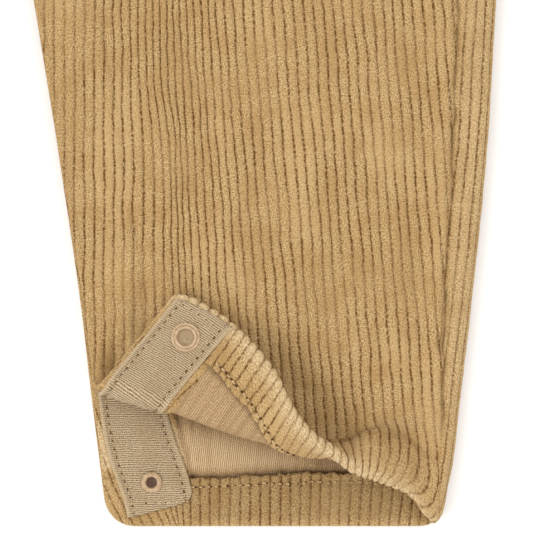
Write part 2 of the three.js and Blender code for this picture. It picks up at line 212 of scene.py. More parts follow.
def folded_front(u, v, w):
    """A point of the front leg whose hem corner is folded up."""
    start, lift = read(CORNER_FOLD, "u", "start", u), read(CORNER_FOLD, "u", "lift", u)
    turn = np.radians(read(CORNER_FOLD, "u", "turn", u))
    angle = np.radians(np.maximum(read(CORNER_FOLD, "u", "angle", u), 0.01))
    radius = read(CORNER_FOLD, "u", "radius", u)
    past = np.maximum(start - v, 0)
    past = past - read(CORNER_FOLD, "u", "slack", u) * ease(past / (start - 13))
    centre = CLOTH / 2 + radius
    across = past * np.cos(turn)
    roll = np.minimum(across / radius, angle)
    rest = np.maximum(across - angle * radius, 0)
    out = (centre - w) * np.sin(roll) + rest * np.cos(angle)
    up = centre - (centre - w) * np.cos(roll) + rest * np.sin(angle)
    along = past * np.sin(turn)
    stitched = 14 + 8 * ease((u - 130) / 28) + 0.5 * drift(u / 6, u * 0, 61)
    bulge = hump(v - 6, 5.5) + 0.3 * hump(v - stitched - 8, 5)
    dip = hump(v - stitched, 1.9) * np.minimum(lift, 1.5)
    up = up + lift * bulge - dip + 0.25 * drift(u / 6, v / 7, 6) * ease(past / 5)
    x = u + np.cos(turn) * along - np.sin(turn) * out
    y = np.maximum(start, v) - np.sin(turn) * along - np.cos(turn) * out
    return np.stack([x, y, front_height(u, np.maximum(start, v)) + up], -1)


def hem_turned(v, w, across, deeper=1.0):
    """The cloth turned up inside along the hem: v is negative on the turned-up part,
    which ends in an uneven raw edge and is drawn in along its stitching."""
    raw = ease((-v - 13.6) / 2)
    v = v + raw * (0.5 * drift(across / 1.5, across * 0, 14) + 0.3 * drift(across / 0.7, across * 0, 15))
    w = w - 0.75 * hump(v + 13.4, 0.8) + raw * 0.4 * drift(across / 1.1, v / 0.9, 16)
    v = np.where(v < 0, v * deeper, v)
    middle = CLOTH + 0.05
    t = np.clip(v / HEM_TURN, -1, 1)
    squash = mix(HEM_SQUASH, 1, (t + 1) / 2)
    reach = w * squash + 0.05
    height = np.abs(v) - HEM_TURN + middle
    angle = t * math.pi / 2
    turned = np.abs(v) < HEM_TURN
    return (
        np.where(turned, middle - reach * np.cos(angle), height),
        np.where(turned, reach * np.sin(angle) - 0.05, np.where(v < 0, -0.05 - reach, w)),
    )


def wale_place(q, v):
    """Where the wale coordinate q lies across the front leg at height v."""
    c = q * WALE_PITCH
    lean = 0.078 * ease((c - 44) / 62)
    bend = 2.2 * hump(c - 67, 9) * ease((150 - v) / 22)
    wander = 0.34 * drift(c / 6, v / 12, 7) + 0.2 * drift(c / 2.6, v / 3.8, 8)
    wander += 0.12 * drift(c / 1.7, v / 1.5, 13)
    fan = 9 * ease((c - 124) / 32) * np.clip((22 - v) / 22, 0, 1) ** 3
    return c - lean * np.clip(v, 0, 180) + bend + wander - fan


def wale_rise(q, v):
    """The round pile of a wale above the ground cloth, with worn and fuller stretches."""
    t = np.abs(2 * (q - np.floor(q)) - 1)
    pile = 1 - t**2.6
    full = 1 + 0.12 * drift(np.floor(q) * 3.7, v / 6, 9) + 0.08 * drift(q * 5, v / 1.6, 10)
    return WALE_RISE * pile * full


def in_frame(points, side=1):
    """Lists of points put together, in metres from the garment's middle; side is -1 for
    the wearer's right."""
    points = np.concatenate(points) * MM
    points[:, 0] *= side
    points[:, 1] -= LENGTH * MM / 2
    return points


def linked(name, data):
    made = bpy.data.objects.new(name, data)
    bpy.context.collection.objects.link(made)
    return made


class Cloth:
    """Gathers the points and faces of one wall of cloth. Each point also has its place in
    the flat cloth, in millimetres, its wale coordinate, whether pile shows there, and its
    painted light: painted shade, dark seam ground and pile laid the other way where
    positive, painted light and worn pile where negative."""

    def __init__(self):
        self.points, self.places, self.piles, self.naps, self.faces = [], [], [], [], []
        self.count = 0

    def add(self, points, u, v, q, pile, nap=0.0):
        self.naps.append(np.broadcast_to(nap, u.shape).reshape(-1))
        self.points.append(points.reshape(-1, 3))
        self.places.append(np.stack(np.broadcast_arrays(u, v, q), -1).reshape(-1, 3))
        self.piles.append(np.broadcast_to(pile, u.shape).reshape(-1))
        ids = np.arange(self.count, self.count + u.size).reshape(u.shape)
        self.count += u.size
        return ids

    def sheet(self, ids, turned=False):
        a, b, c, d = ids[:-1, :-1], ids[:-1, 1:], ids[1:, 1:], ids[1:, :-1]
        quads = np.stack([a, b, c, d], -1).reshape(-1, 4)
        if turned:
            quads = quads[:, ::-1]
        low, high = quads[:, 0] == quads[:, 1], quads[:, 2] == quads[:, 3]
        self.faces += quads[~low & ~high].tolist()
        self.faces += quads[low & ~high][:, 1:].tolist() + quads[high & ~low][:, :3].tolist()

    def zip(self, a, at_a, b, at_b, turned=False):
        """A strip of triangles between two rows of points, matched by their places."""
        i, j = 0, 0
        while i < len(a) - 1 or j < len(b) - 1:
            if j == len(b) - 1 or (i < len(a) - 1 and at_a[i + 1] <= at_b[j + 1]):
                face = [a[i], a[i + 1], b[j]]
                i += 1
            else:
                face = [a[i], b[j + 1], b[j]]
                j += 1
            if len(set(face)) == 3:
                self.faces.append(face[::-1] if turned else face)

    def piece(self, name, material, side=1):
        points = in_frame(self.points, side)
        mesh = bpy.data.meshes.new(name + "_cloth")
        mesh.from_pydata(points, [], self.faces)
        place = mesh.attributes.new("cloth", "FLOAT_VECTOR", "POINT")
        place.data.foreach_set("vector", np.concatenate(self.places).astype(np.float32).ravel())
        for key, values in (("pile", self.piles), ("nap", self.naps)):
            shade = mesh.attributes.new(key, "FLOAT", "POINT")
            shade.data.foreach_set("value", np.concatenate(values).astype(np.float32))
        mesh.update()
        mesh.calc_loop_triangles()
        corners = np.zeros(len(mesh.loop_triangles) * 3, np.int32)
        mesh.loop_triangles.foreach_get("vertices", corners)
        a, b, c = (points[corners.reshape(-1, 3)[:, k]] for k in range(3))
        if (a * np.cross(b, c)).sum() < 0:
            mesh.flip_normals()
        mesh.shade_smooth()
        mesh.materials.append(material)
        made = linked(name + "_cloth", mesh)
        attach(made, "root")
        return made


def leg_heights(fine):
    """The rows of a leg panel, from the turned-up hem's raw edge to the waist."""
    steps = (0.85, 1.2, 5.0) if fine else (1.8, 4.0, 6.5)
    hem = np.arange(-HEM_DEPTH, 62, steps[0])
    seen = np.arange(62, 184, steps[1])
    return np.concatenate([hem, seen, np.linspace(184, WAIST, int((WAIST - 184) / steps[2]))])


def clipped(u, low, high, q):
    """A row's columns cut off at both edges of the panel; those past an edge lie on it."""
    q_low, q_high = np.interp([low, high], u, q)
    before, after = u < low + 0.12, u > high - 0.12
    first, last = np.flatnonzero(before)[-1], np.flatnonzero(after)[0]
    u = np.where(before, low, np.where(after, high, u))
    q = np.where(before, q_low, np.where(after, q_high, q))
    return u, q, np.clip(np.arange(len(u)), first, last)


RIM = np.radians([18, 54, 90, 126, 162])


def plain(inset, *others):
    return 0 * inset


def wall(cloth, heights, left, right, place, point, rise, insets, depth, border, q_range, shade=plain):
    """Weaves one wall: an outside with its wales, round edges and a plain inside. The
    wales of the edge turned in over the inside are those of the outside, mirrored."""
    q = (np.arange(*q_range)[:, None] + np.array(WALE_STEPS)).ravel()
    rows = {"u": [], "v": [], "w": [], "q": [], "id": []}
    bulge, drop = 0.42 * CLOTH * np.sin(RIM), CLOTH * (1 + np.cos(RIM)) / 2
    for v in heights:
        low, high = left(v), right(v)
        u, row_q, keep = clipped(place(q, np.full_like(q, v)), low, high, q)
        near_edge = 0.25 + 0.75 * ease(np.minimum(u - low, high - u) / 2.2)
        w = CLOTH + rise(row_q, np.full_like(q, v), u) * near_edge
        rows["u"].append(np.concatenate([low - bulge[::-1], u, high + bulge]))
        rows["w"].append(np.concatenate([drop[::-1], w, drop]))
        round_rim = np.arange(5) * 0.62 / WALE_PITCH
        rows["q"].append(np.concatenate([row_q[0] - round_rim[::-1], row_q, row_q[-1] + round_rim]))
        rows["v"].append(np.full(len(q) + 10, v))
        rows["id"].append(np.concatenate([np.arange(5), keep + 5, np.arange(5) + len(q) + 5]))
    u, v, w, q_all = (np.array(rows[k]) for k in "uvwq")
    ends = np.array([[left(y), right(y)] for y in heights])
    # The shade function gives each point's painted shade and light, and its worn pile.
    nap = shade(u - ends[:, :1], v, ends[:, 1:] - u, True)
    outer = cloth.add(point(u, v, w), u, v, q_all, 1.0, nap)
    outer = np.take_along_axis(outer, np.array(rows["id"]), 1)
    low, high = np.array([left(y) for y in heights]), np.array([right(y) for y in heights])
    across = np.array(insets)[None, :] * np.ones((len(heights), 1))
    far = np.linspace(0, 1, 26)[1:][None, :]
    begun = low + insets[-1]
    u = np.concatenate([low[:, None] + across, begun[:, None] + far * (high - begun)[:, None]], 1)
    v = np.repeat(np.array(heights)[:, None], u.shape[1], 1)
    inset = u - low[:, None]
    mirrored = (2 * low[:, None] - u) / WALE_PITCH
    nap = shade(inset, v, high[:, None] - u, False)
    inner = cloth.add(point(u, v, depth(inset, v)), u, v, mirrored, border(inset, v), nap)
    cloth.sheet(outer)
    cloth.sheet(inner, turned=True)
    cloth.sheet(np.stack([inner[:, 0], outer[:, 0]], 1))
    cloth.sheet(np.stack([outer[:, -1], inner[:, -1]], 1))
    for row, turned in ((0, False), (-1, True)):
        at_inner = (u[row] - u[row][0]) / (u[row][-1] - u[row][0])
        at_outer = np.array(rows["u"][row])
        at_outer = (at_outer - at_outer[0]) / (at_outer[-1] - at_outer[0])
        cloth.zip(inner[row], at_inner, outer[row], at_outer, turned)


class Sock:
    """One output socket. The usual operators on it add the Math nodes they stand for."""

    def __init__(self, tree, socket):
        self.tree, self.socket = tree, socket

    def node(self, kind, settings=None, output=0, **inputs):
        made = self.tree.nodes.new(kind)
        for key, value in (settings or {}).items():
            setattr(made, key, value)
        for key, value in inputs.items():
            slot = made.inputs[int(key[1:])] if key[0] == "i" and key[1:].isdigit() else made.inputs[key]
            if isinstance(value, Sock):
                self.tree.links.new(value.socket, slot)
            else:
                slot.default_value = value
        return Sock(self.tree, made.outputs[output])

    def output(self, index):
        return Sock(self.tree, self.socket.node.outputs[index])

    def attribute(self, name, output=2):
        return self.node("ShaderNodeAttribute", {"attribute_name": name}, output)

    def math(self, operation, *others, clamp=False):
        values = {f"i{i}": value for i, value in enumerate(others)}
        return self.node("ShaderNodeMath", {"operation": operation, "use_clamp": clamp}, **values)

    def __add__(self, other):
        return self.math("ADD", self, other)

    __radd__ = __add__

    def __sub__(self, other):
        return self.math("SUBTRACT", self, other)

    def __rsub__(self, other):
        return self.math("SUBTRACT", other, self)

    def __mul__(self, other):
        return self.math("MULTIPLY", self, other)

    __rmul__ = __mul__

    def step(self, low, high):
        """0 below low, 1 above high, and smooth between; the other way if low is higher."""
        return self.node(
            "ShaderNodeMapRange",
            {"interpolation_type": "SMOOTHSTEP"},
            Value=self,
            **{"From Min": low, "From Max": high},
        )

    def between(self, a, b):
        """The colour a where this is 0, and b where it is 1."""
        return self.node("ShaderNodeMix", {"data_type": "RGBA"}, output=2, i0=self, i6=a, i7=b)

    def tinted(self, *tints):
        """This colour, drawn in turn towards each tone where its source goes from low to high."""
        colour = self
        for source, low, high, share, tone in tints:
            colour = (source.step(low, high) * share).between(colour, rgb(*tone))
        return colour

    def noise(self, place, scale, detail=2.0, stretch=(1, 1, 1)):
        moved = self.node("ShaderNodeMapping", i0=place, Scale=stretch)
        return self.node("ShaderNodeTexNoise", Vector=moved, Scale=scale, Detail=detail)


def new_material(name, roughness, sheen=0.0, sheen_tint=(1, 1, 1, 1)):
    material = bpy.data.materials.new(name)
    material.use_nodes = True
    shader = material.node_tree.nodes["Principled BSDF"]
    shader.inputs["Roughness"].default_value = roughness
    shader.inputs["Sheen Weight"].default_value = sheen
    shader.inputs["Sheen Roughness"].default_value = 0.5
    shader.inputs["Sheen Tint"].default_value = sheen_tint
    shader.inputs["Specular IOR Level"].default_value = 0.2
    return material, Sock(material.node_tree, None)


def finished(material, colour, height, strength, distance):
    """Joins a colour and the height of a bump to the material's shader."""
    shader = material.node_tree.nodes["Principled BSDF"]
    bump = colour.node("ShaderNodeBump", Height=height, Strength=strength, Distance=distance)
    colour.tree.links.new(colour.socket, shader.inputs["Base Color"])
    colour.tree.links.new(bump.socket, shader.inputs["Normal"])
    return material


def rgb(red, green, blue):
    """A colour from its screen values, 0 to 255, as the linear light that shaders use."""
    shares = [value / 255 for value in (red, green, blue)]
    return (*(s / 12.92 if s < 0.0431 else ((s + 0.055) / 1.055) ** 2.4 for s in shares), 1)


def corduroy_material():
    """Wide-wale corduroy: speckled pile on the wales, broken dark lines of ground cloth
    between them, and the plain fine-ribbed weave of the wrong side behind. A point
    attribute paints shade into the colour where positive, and light and worn pile where
    negative."""
    material, new = new_material("tan_corduroy", 0.95, 0.12, rgb(240, 214, 170))
    place = new.attribute("cloth", 1)
    pile = new.attribute("pile")
    nap = new.attribute("nap")
    across = new.node("ShaderNodeSeparateXYZ", i0=place)
    wale = across.output(2)
    flat = new.node("ShaderNodeVectorMath", {"operation": "MULTIPLY"}, i0=place, i1=(1, 1, 0))
    speckle = new.noise(flat, 1.6, 2.0)
    grain = new.noise(flat, 2.4, 1.0)
    strands = new.noise(flat, 1.0, 2.0, (2.2, 0.7, 1))
    blotch = new.noise(flat, 0.12, 2.0)
    # Large patches of pile laid darker and lighter, which also stand in as painted shade and light for the
    # cloth's soft undulations.
    brushed_and_shaded = new.noise(flat, 0.035, 2.0, (1.4, 0.8, 1))
    worn = new.noise(flat, 0.045, 1.0)
    broken = new.noise(flat, 0.75, 2.0, (0.7, 1, 1))
    ragged = new.noise(flat, 1.0, 2.0, (0.9, 1.3, 1))
    offset = wale - wale.math("ROUND", wale)
    from_groove = offset.math("ABSOLUTE", offset) * WALE_PITCH + (ragged - 0.5) * 1.1 + (grain - 0.5) * 0.35
    groove = from_groove.step(0.6, 0.02) * broken.step(0.2, 0.6) * (worn.step(0.3, 0.6) * 0.65 + 0.45)
    # Where the attribute is negative: worn pile with softer grooves, and painted light.
    worn_and_lit = nap.math("MAXIMUM", nap * -1.0, 0.0)
    groove = groove.math("MINIMUM", groove, 1.0) * (1 - worn_and_lit.math("MINIMUM", worn_and_lit, 1.0) * 0.35)
    tops = speckle.step(0.32, 0.68).between(rgb(150, 114, 66), rgb(207, 175, 123))
    tops = tops.tinted(
        (grain, 0.42, 0.68, 0.6, (222, 194, 146)),
        (grain, 0.52, 0.28, 0.6, (112, 80, 42)),
        (strands, 0.4, 0.75, 0.35, (142, 106, 60)),
        (blotch, 0.35, 0.7, 0.4, (162, 124, 74)),
        (brushed_and_shaded, 0.5, 0.72, 0.3, (156, 122, 74)),
        (brushed_and_shaded, 0.5, 0.3, 0.3, (206, 174, 124)),
    )
    # Lighter tops for worn pile and painted light: the flap's lip and the strip past the side seam.
    worn_and_lit_tops = speckle.step(0.3, 0.68).between(rgb(186, 154, 106), rgb(240, 222, 186))
    tops = (worn_and_lit * 0.5).between(tops, worn_and_lit_tops)
    pile_colour = groove.between(tops, rgb(106, 72, 32))
    # Painted shade: pile darkened where the attribute is positive; this also gives the seam's dark ground
    # and pile laid the other way.
    pile_colour = (nap.math("MAXIMUM", nap, 0.0) * 0.3).between(pile_colour, rgb(84, 58, 28))
    streak = new.noise(flat, 1.0, 1.0, (0.5, 0.02, 1))
    rib = across.math("SINE", across * (2 * math.pi / 0.68) + (ragged - 0.5) * 3.0) * 0.5 + 0.5
    back_colour = rib.between(rgb(146, 114, 76), rgb(216, 184, 142))
    cord = across.math("COSINE", across * (2 * math.pi / WALE_PITCH) + (ragged - 0.5) * 1.5) * 0.5 + 0.5
    back_colour = (cord.step(0.6, 1.0) * (streak * 0.7)).between(back_colour, rgb(140, 106, 68))
    back_colour = back_colour.tinted(
        (speckle, 0.3, 0.7, 0.7, (198, 168, 126)),
        (grain, 0.62, 0.35, 0.6, (122, 92, 58)),
        (streak, 0.52, 0.3, 0.3, (120, 90, 58)),
    )
    # Painted light: the wrong side lighter where the attribute is negative.
    back_colour = (worn_and_lit * 0.5).between(back_colour, rib.between(rgb(160, 128, 86), rgb(255, 226, 184)))
    # Painted shade on the wrong side where the attribute is positive.
    back_colour = (nap.math("MAXIMUM", nap, 0.0) * 0.6).between(back_colour, rgb(70, 48, 26))
    shade = pile.step(0.35, 0.65).between(back_colour, pile_colour)
    relief = pile * (speckle * 1.3 + grain * 0.5) + (1 - pile) * (rib * 0.4 + grain * 0.5)
    return finished(material, shade, relief, 0.8, 0.0004)


corduroy = corduroy_material()
EDGE_INSETS = tuple(np.round(np.arange(0, 32, 0.75), 2)) + (34, 36, 38, 41, 44)
FRONT_TURN_IN = 23.2
TURN_IN_CLOTH = 0.85


def turn_in(inset, v, width):
    """1 where the inseam edge is turned in over the wrong side, and 0 past its raw edge."""
    ragged = width + 0.5 * drift(v / 1.7, v * 0, 11) + 0.25 * drift(v / 0.8, v * 0, 12)
    return 1 - ease((inset - ragged + 0.5) / 0.9)


def turned_in_depth(inset, v, width):
    below = (v > HEM_TURN) * turn_in(inset, v, width)
    return -TURN_IN_CLOTH * below * ease((v - HEM_DEPTH + 1) / 1.5)


def seam_shade(from_end, v):
    """Dark ground cloth in the side seam, with painted shade in its groove, unevenly."""
    seam = 2.0 * hump(from_end, 0.35) + 0.4 * hump(from_end, 1.2)
    return seam * ease((v - 26) / 16) * (0.8 + 0.4 * drift(v / 3, v * 0, 19))


def front_leg(name, side, folded):
    cloth = Cloth()
    surface = folded_front if folded else flat_front

    def point(u, v, w):
        height, out = hem_turned(v, w, u)
        return surface(u, height, out)

    def shade(inset, v, from_end, pile):
        """Painted light and shade on the front. On the outside: along the folded hem's lip,
        lighter worn pile with a painted highlight; painted shade in pockets by the folded
        corner's left end and above its lip; the dark ground of the side seam, the placket's
        stitching and the inseam's fold, with painted shade in them. On the wrong side:
        painted shade along the turned-up hem's raw edge."""
        if not pile:
            # Painted shade along the turned-up hem's raw edge.
            return 0.7 * hump(v - 16.6, 0.8) * (inset > 22)
        # Worn pile with a painted highlight along the folded hem's lip: lighter tops, softer grooves.
        lip = -hump(v + 1, 4.5)
        seam = seam_shade(from_end, v)
        open_inseam = ease((CROTCH_END - v) / 9) * ease((v - 50) / 20)
        # Dark ground with painted shade along the placket's stitching and the inseam's fold.
        line = hump(inset - 20.2 + 0.2 * drift(v / 9, v * 0, 3), 0.5)
        line = 0.5 * line * (0.6 + 0.6 * drift(v / 2.2, v * 0, 17))
        line += 1.1 * hump(inset - 1.2, 0.45) * (0.5 + 0.5 * drift(v / 7, v * 0, 18))
        # Painted shade in pockets by the folded corner's left end.
        pocket = np.exp(-(((inset - 5) / 2.6) ** 2) - ((v - 53) / 5) ** 2)
        pocket += 0.7 * np.exp(-(((inset - 15.5) / 2.2) ** 2) - ((v - 68) / 7) ** 2)
        # Painted shade on the leg above the folded corner's lip.
        slope = (inset - 54) * 0.73 + (v - 59) * 0.69
        above_lip = np.exp(-(((slope - 1) / 8) ** 2) - ((inset - 72) / 26) ** 2)
        return (lip + 1.2 * pocket + 0.7 * above_lip * (v > 12)) * folded + seam + line * open_inseam

    wall(
        cloth,
        leg_heights(folded),
        lambda v: float(front_inner(abs(v))),
        lambda v: float(front_outer(abs(v))),
        wale_place,
        point,
        lambda q, v, u: wale_rise(q, v) * (1 + 0.45 * folded * hump(v + 1, 5)),
        EDGE_INSETS,
        lambda inset, v: turned_in_depth(inset, v, FRONT_TURN_IN),
        lambda inset, v: turn_in(inset, v, FRONT_TURN_IN),
        (-4, 60),
        shade,
    )
    made = cloth.piece(name, corduroy, side)
    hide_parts(name)
    return made


front_leg("front_left", 1, True)

# The wearer's right front leg: the same panel turned over, snapped shut along its inseam,
# so it lies flat over the back from the hem to the waist.
front_leg("front_right", -1, False)

# The backs of both legs: they lie on their outsides, are turned in along the inseam and up
# along the hem, and wrap round the sides to the seams with the fronts.
SIDE_RADIUS = (FRONT_REST + CLOTH) / 2
SIDE_TURN = math.pi * SIDE_RADIUS


def back_middle(v):
    """The middle line of the turn round the side."""
    return leg("side", v) - SIDE_RADIUS - 0.9


def back_point(p, v, w):
    """A point of a back leg: p is the distance past the side turn's start."""
    height, out = hem_turned(v, w, p, 1.03 + 0.12 * ease((p + 80) / 40))
    middle = back_middle(height)
    angle = np.clip(p / SIDE_RADIUS, 0, math.pi) - math.pi / 2
    radius = SIDE_RADIUS - CLOTH + out
    beyond = np.minimum(p, 0) - np.maximum(p - SIDE_TURN, 0)
    x = middle + beyond + np.where(p > 0, radius * np.cos(angle), 0)
    z = SIDE_RADIUS + np.where(p > 0, radius * np.sin(angle), -radius)
    top = ease((p - SIDE_TURN * 0.8) / 3)
    z = z + top * (0.12 * drift(x / 7, height / 9, 21) + 0.1 * drift(x * 0, height / 4.5, 22))
    inset = x - leg("inseam", height)
    folds = hump(inset - 31.5, 1.1) + 0.8 * hump(inset - 35.5, 0.9)
    folds += 0.5 * hump(inset - 41, 1.6)
    z = z + 0.55 * folds * ease((height - 17) / 5) * (p < 0) * (w < CLOTH / 2)
    from_side = middle + SIDE_RADIUS + 0.5 - x
    corner = round_corner(np.clip(from_side, 0, 9), 8.5)
    height = height + corner * ease((26 - height) / 26) * ease((p + 20) / 10)
    end = seam_line(height) + 0.3
    z = z - 0.5 * top * hump(x - end, 2.2) * (1 + 0.5 * drift(height / 5.5, x * 0, 23))
    return np.stack([x, height, z], -1)


# How far the tape's edges lie in from the back's inseam edge, by height.
BACK_TAPE = table(
    "y left right",
    (3, 7.2, 29.0),
    (10, 6.4, 29.6),
    (14, 5.4, 29.4),
    (20, 3.9, 28.4),
    (29, 2.7, 26.3),
    (38, 2.4, 24.8),
    (50, 2.4, 24.0),
    (60, 2.5, 23.5),
)
# Where the folded corner's edge lies over the left back: distances in from its inseam
# edge, and heights. The painted shadow under that edge follows it.
FLAP_EDGE = (24, 52, 65, 73, 84), (38.1, 30.4, 26.8, 21.9, 18)


def back_leg(name, side):
    cloth = Cloth()

    def place(q, v):
        c = q * WALE_PITCH
        upright = 1 - ease((c + 40) / 34)
        lean = (back_middle(0 * v) - back_middle(np.abs(v))) * upright
        wander = 0.26 * drift(c / 6, v / 13, 24) + 0.14 * drift(c / 2.6, v / 4.2, 25)
        corner = ease(1 - (c - left(0)) / 18) * np.clip(-v, 0, HEM_DEPTH)
        lean = lean + 0.5 * (HEM_DEPTH * ease(1 - (c - left(0)) / 18) - corner) * (v < 0)
        fan = 4 * ease((c + 1) / 8) * np.clip((18 - v) / 18, 0, 1) ** 3 * (v > 0)
        return c + lean + wander + fan + 0.12 * drift(c / 1.7, v / 1.5, 26)

    def rise(q, v, p):
        shown = np.maximum(ease((-v - 0.2) / 1.5), ease((p - 2.5) / 3))
        return wale_rise(q, v) * shown

    def left(v):
        return float(leg("inseam", abs(v)) + 0.9 + round_corner(v, 10.0) - back_middle(abs(v)))

    def right(v):
        return float(SIDE_TURN + back_middle(abs(v)) - seam_line(abs(v)))

    def turned_width(v):
        return read(BACK_TAPE, "y", "right", np.abs(v)) - 0.2 + 1.3 * ease((v - 18) / 12)

    def shade(inset, v, from_end, pile):
        """Painted light and shade on the back. On the wrong side: painted shade along the raw
        edges of the turned-up hem and the turned-in edge, along two folds beside the tape and
        as a shadow under the folded corner's edge, and painted light past that shadow. On
        the outside: the turned-up hem darker, for pile laid the other way and painted shade;
        the side seam's dark ground with painted shade in it; and painted light on the strip
        past the seam."""
        if not pile:
            depth_here = 16.9 + 1.6 * ease((inset - 30) / 36)
            # Painted shade along the hem's raw edge, the turned-in edge and two folds beside the tape.
            raw = 1.1 * hump(v - depth_here, 0.9) * (inset > 24)
            raw += 0.8 * hump(inset - turned_width(v) - 0.9, 0.9) * (v > 16)
            raw += 0.9 * hump(inset - 33, 0.6) + 0.5 * hump(inset - 36.4, 0.8)
            # Painted shadow under the folded corner's edge, and painted light on the wrong side past it.
            under_flap = np.interp(inset, *FLAP_EDGE) - v
            shadow = hump(np.maximum(under_flap, 0), 4)
            return raw + 0.3 * shadow - 1.0 * (1 - shadow) * ease((v - depth_here - 1) / 3)
        # The turned-up hem darker: pile laid the other way, with painted shade.
        brushed_and_shaded = ease((-v - 1) / 3) * (0.2 + 0.7 * ease((inset - 18) / 8))
        seam = seam_shade(from_end, v)
        # Painted light on the strip past the side seam.
        return brushed_and_shaded + seam - 0.25 * ease((14 - from_end) / 6) * (from_end > 0.9)

    wall(
        cloth,
        leg_heights(side > 0),
        left,
        right,
        place,
        back_point,
        rise,
        EDGE_INSETS,
        lambda inset, v: turned_in_depth(inset, v, turned_width(v)),
        lambda inset, v: turn_in(inset, v, turned_width(v)),
        (-58, 12),
        shade,
    )
    made = cloth.piece(name, corduroy, side)
    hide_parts(name)
    return made


back_leg("back_left", 1)
back_leg("back_right", -1)

# The bibs: one piece of corduroy in front and one behind, joined to the legs at the waist.
# The back one lies on its outside, so its wales show only in its colour there.
BIB_FRONT = table(
    "y half",
    (440.3, 155),
    (452, 143),
    (478, 117),
    (508, 97),
    (545, 84),
    (585, 78),
)
BIB_BACK = table(
    "y half",
    (440.3, 168),
    (455, 152),
    (485, 122),
    (520, 98),
    (560, 83),
    (600, 76),
)


def bib_front_point(u, v, w):
    waves = crease_depth(np.abs(u - 20) + 40, v - 300) * 0.8
    return np.stack([u, v, FRONT_REST + w - waves + 0.3 * drift(u / 25, v / 30, 31)], -1)


def bib_back_point(u, v, w):
    return np.stack([u, v, CLOTH - w], -1)


def bib(name, table, behind):
    cloth = Cloth()
    heights = np.linspace(table[0]["y"], table[-1]["y"], 46)

    def half(v):
        return float(read(table, "y", "half", v))

    wall(
        cloth,
        heights,
        lambda v: -half(v),
        half,
        lambda q, v: q * WALE_PITCH + 0.2 * drift(q * 0.5, v / 13, 32),
        bib_back_point if behind else bib_front_point,
        lambda q, v, u: wale_rise(q, v) * (0 if behind else 1),
        (0.0, 2.0, 6.0, 12.0),
        plain,
        plain,
        (-56, 56),
    )
    made = cloth.piece(name, corduroy)
    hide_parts(name)
    return made


bib("bib_front", BIB_FRONT, False)
bib("bib_back", BIB_BACK, True)

# The straps: each a doubled strip of corduroy, from the back bib over the shoulder fold and
# down onto the front bib, where its rounded end is buttoned.
STRAP = dict(middle=54, width=31, cloth=2.4, top=675, start=600.3, end=560, tip=10)
STRAP_FRONT = FRONT_REST + CLOTH + 0.9
STRAP_RADIUS = (STRAP_FRONT + STRAP["cloth"]) / 2
STRAP_TURN_Y = STRAP["top"] - STRAP_RADIUS
STRAP_BEHIND = STRAP_TURN_Y - STRAP["start"]
STRAP_LENGTH = STRAP_BEHIND + math.pi * STRAP_RADIUS + STRAP_TURN_Y - STRAP["end"]


def strap_point(u, s, w):
    """A point of a strap: s runs along it from the back bib to the rounded end."""
    angle = np.clip((s - STRAP_BEHIND) / STRAP_RADIUS, 0, math.pi) - math.pi / 2
    reach = STRAP_RADIUS - STRAP["cloth"] + w
    past = np.maximum(s - STRAP_BEHIND - math.pi * STRAP_RADIUS, 0)
    y = STRAP_TURN_Y + np.minimum(s - STRAP_BEHIND, 0) - past + reach * np.cos(angle)
    return np.stack([STRAP["middle"] + u, y, STRAP_RADIUS + reach * np.sin(angle)], -1)


def strap_edge(s):
    return STRAP["width"] / 2 - float(round_corner(max(STRAP_LENGTH - s, 0), STRAP["tip"]))


def strap(name, side):
    cloth = Cloth()
    heights = [np.linspace(0, STRAP_BEHIND, 12), np.linspace(STRAP_BEHIND + 1, STRAP_LENGTH - 0.2, 90)]
    wall(
        cloth,
        np.concatenate(heights),
        lambda s: -strap_edge(s),
        strap_edge,
        lambda q, s: q * WALE_PITCH + 0.2 * drift(q * 0.5, s / 13, 41),
        strap_point,
        lambda q, s, u: wale_rise(q, s) * ease((s - STRAP_BEHIND - 3) / 4),
        (0.0, 3.0),
        plain,
        lambda inset, s: 0 * inset + 1,
        (-6, 6),
    )
    made = cloth.piece(name, corduroy, side)
    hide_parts(name)
    return made


strap("strap_left", 1)
strap("strap_right", -1)

# The snap tapes: close-ribbed cotton tape sewn inside each inseam edge, over the turned-in
# corduroy. The left leg's lower ends show, on the folded corner and on the back below it.
TAPE_WIDTH = 21.0
TAPE_CLOTH = 0.6
TAPE_RIB = 0.73
TAPE_SEEN = 66.0
SEWN_IN = 2.3


